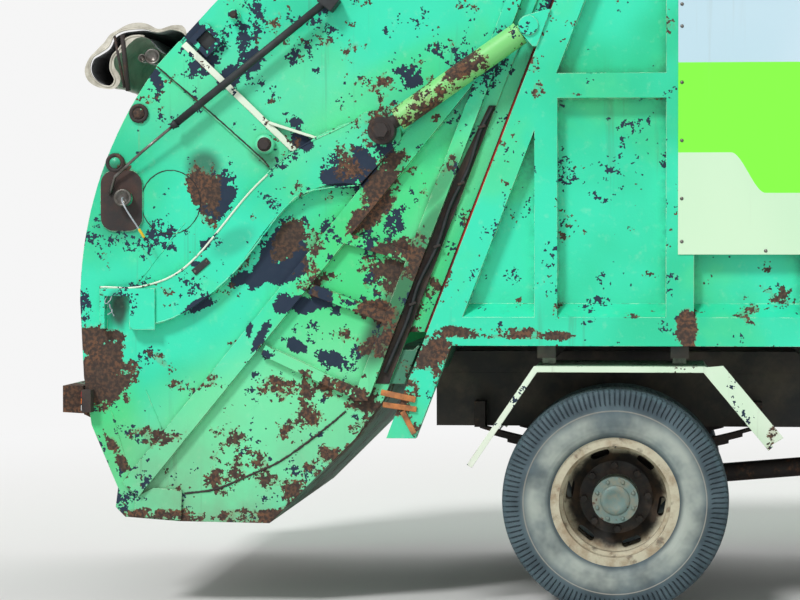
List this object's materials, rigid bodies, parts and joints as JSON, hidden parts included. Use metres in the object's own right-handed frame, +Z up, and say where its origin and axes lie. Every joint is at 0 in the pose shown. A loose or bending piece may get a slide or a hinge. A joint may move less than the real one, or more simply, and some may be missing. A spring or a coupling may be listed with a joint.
{
  "type": "rear-loading compactor garbage truck",
  "caption": "Rear-loading refuse truck with a tilting cab, ejector container, lifting tailgate hopper, packing blade and twin-tyred rear axle.",
  "frame": {"origin": "on the ground under the middle of the truck's length and width", "axes": "+X forward, +Y to the truck's left, +Z up"},
  "size_m": [8.271, 2.74, 3.14],
  "materials": {
    "body_green": "worn turquoise green paint with rust and bare primer",
    "cylinder_green": "pale green paint with rust",
    "chassis_paint": "dusty black chassis paint",
    "spring_steel": "dirty steel with surface rust",
    "engine_iron": "oily cast iron",
    "tank_paint": "dark grey paint",
    "guard_paint": "pale green paint, dusty",
    "bumper_paint": "grey paint",
    "lamp_lens": "clear lens",
    "signal_lens": "red lens",
    "sign_face": "printed sheet in light blue, lime and pale green",
    "window_glass": "clear safety glass",
    "seat_cloth": "grey woven cloth",
    "dash_plastic": "moulded black plastic",
    "seal_rubber": "red-brown rubber",
    "wire_sheath": "black sheath of a thin wire",
    "canvas": "dirty off-white canvas",
    "tyre_rubber": "dusty black rubber",
    "rim_paint": "beige paint with rust"
  },
  "bodies": {
    "chassis": {"chassis_rails": "chassis_paint", "cross_members": "chassis_paint", "subframe": "chassis_paint", "rear_springs": "spring_steel", "front_springs": "spring_steel", "rear_axle": "spring_steel", "front_axle": "spring_steel", "engine_block": "engine_iron", "side_tanks": "tank_paint", "side_guards": "chassis_paint", "exhaust": "spring_steel", "rear_mudguards": "guard_paint", "front_mudguards": "guard_paint", "front_bumper": "bumper_paint", "headlamps": "lamp_lens", "container_side_left": "body_green", "container_side_right": "body_green", "container_roof": "body_green", "container_floor": "body_green", "container_front": "body_green", "sign_panels": "sign_face", "cab_mounts": "chassis_paint"},
    "tailgate": {"tailgate_side_left": "body_green", "tailgate_side_right": "body_green", "tailgate_skin": "body_green", "hopper_tub": "body_green", "tailgate_seal": "seal_rubber", "rear_canvas": "canvas", "rear_lamps": "signal_lens", "lamp_wire": "wire_sheath"},
    "carriage": {"carriage": "body_green"},
    "blade": {"packer_blade": "body_green"},
    "ejector": {"ejector_panel": "spring_steel"},
    "lift_barrels": {"lift_barrels": "cylinder_green"},
    "lift_rods": {"lift_rods": "spring_steel"},
    "cab": {"cab_shell": "body_green", "cab_glass": "window_glass", "cab_seats": "seat_cloth", "dashboard": "dash_plastic", "mirrors": "dash_plastic", "grille": "dash_plastic"},
    "door_left": {"door_left": "body_green", "door_glass_left": "window_glass"},
    "door_right": {"door_right": "body_green", "door_glass_right": "window_glass"},
    "knuckle_left": {"knuckle_left": "chassis_paint"},
    "knuckle_right": {"knuckle_right": "chassis_paint"},
    "front_wheel_left": {"front_tyre_left": "tyre_rubber", "front_rim_left": "rim_paint"},
    "front_wheel_right": {"front_tyre_right": "tyre_rubber", "front_rim_right": "rim_paint"},
    "rear_wheel_left": {"rear_tyres_left": "tyre_rubber", "rear_rims_left": "rim_paint"},
    "rear_wheel_right": {"rear_tyres_right": "tyre_rubber", "rear_rims_right": "rim_paint"}
  },
  "joints": [
    {"name": "tailgate_lift", "type": "hinge", "parent": "chassis", "child": "tailgate", "pos_m": [-1.77435, 0, 3.1], "axis": [0, 1, 0], "range_deg": [0, 62]},
    {"name": "lift_barrel_swing", "type": "hinge", "parent": "chassis", "child": "lift_barrels", "pos_m": [-2.0385, 0, 2.577], "axis": [0, 1, 0], "range_deg": [0, 75.3]},
    {"name": "lift_rod_slide", "type": "slide", "parent": "lift_barrels", "child": "lift_rods", "axis": [-0.8204, 0, -0.5718], "range_m": [0, 0.5553]},
    {"name": "carriage_slide", "type": "slide", "parent": "tailgate", "child": "carriage", "axis": [-0.6334, 0, -0.7738], "range_m": [0, 0.65]},
    {"name": "blade_swing", "type": "hinge", "parent": "carriage", "child": "blade", "pos_m": [-2.9728, 0, 1.793], "axis": [0, 1, 0], "range_deg": [0, 110]},
    {"name": "ejector_slide", "type": "slide", "parent": "chassis", "child": "ejector", "axis": [-1, 0, 0], "range_m": [0, 3.48]},
    {"name": "cab_tilt", "type": "hinge", "parent": "chassis", "child": "cab", "pos_m": [4.0075, 0, 0.85], "axis": [0, 1, 0], "range_deg": [0, 50]},
    {"name": "door_left_hinge", "type": "hinge", "parent": "cab", "child": "door_left", "pos_m": [3.8955, 1.1415, 1.54], "axis": [0, 0, -1], "range_deg": [0, 70]},
    {"name": "door_right_hinge", "type": "hinge", "parent": "cab", "child": "door_right", "pos_m": [3.8955, -1.1415, 1.54], "axis": [0, 0, 1], "range_deg": [0, 70]},
    {"name": "steer_left", "type": "hinge", "parent": "chassis", "child": "knuckle_left", "pos_m": [2.7355, 0.8, 0.5], "axis": [0, 0, 1], "range_deg": [-32, 32]},
    {"name": "steer_right", "type": "hinge", "parent": "chassis", "child": "knuckle_right", "pos_m": [2.7355, -0.8, 0.5], "axis": [0, 0, 1], "range_deg": [-32, 32]},
    {"name": "front_wheel_left_spin", "type": "hinge", "parent": "knuckle_left", "child": "front_wheel_left", "pos_m": [2.7355, 0.975, 0.5], "axis": [0, 1, 0], "continuous": true},
    {"name": "rear_wheel_left_spin", "type": "hinge", "parent": "chassis", "child": "rear_wheel_left", "pos_m": [-1.6645, 0.893, 0.5], "axis": [0, 1, 0], "continuous": true},
    {"name": "front_wheel_right_spin", "type": "hinge", "parent": "knuckle_right", "child": "front_wheel_right", "pos_m": [2.7355, -0.975, 0.5], "axis": [0, 1, 0], "continuous": true},
    {"name": "rear_wheel_right_spin", "type": "hinge", "parent": "chassis", "child": "rear_wheel_right", "pos_m": [-1.6645, -0.893, 0.5], "axis": [0, 1, 0], "continuous": true}
  ],
  "couplings": [
    {"joint": "lift_barrel_swing", "follows": "tailgate_lift", "ratio": 1.2137},
    {"joint": "lift_rod_slide", "follows": "tailgate_lift", "m_per_rad": 0.51275},
    {"joint": "steer_right", "follows": "steer_left", "ratio": 1}
  ]
}
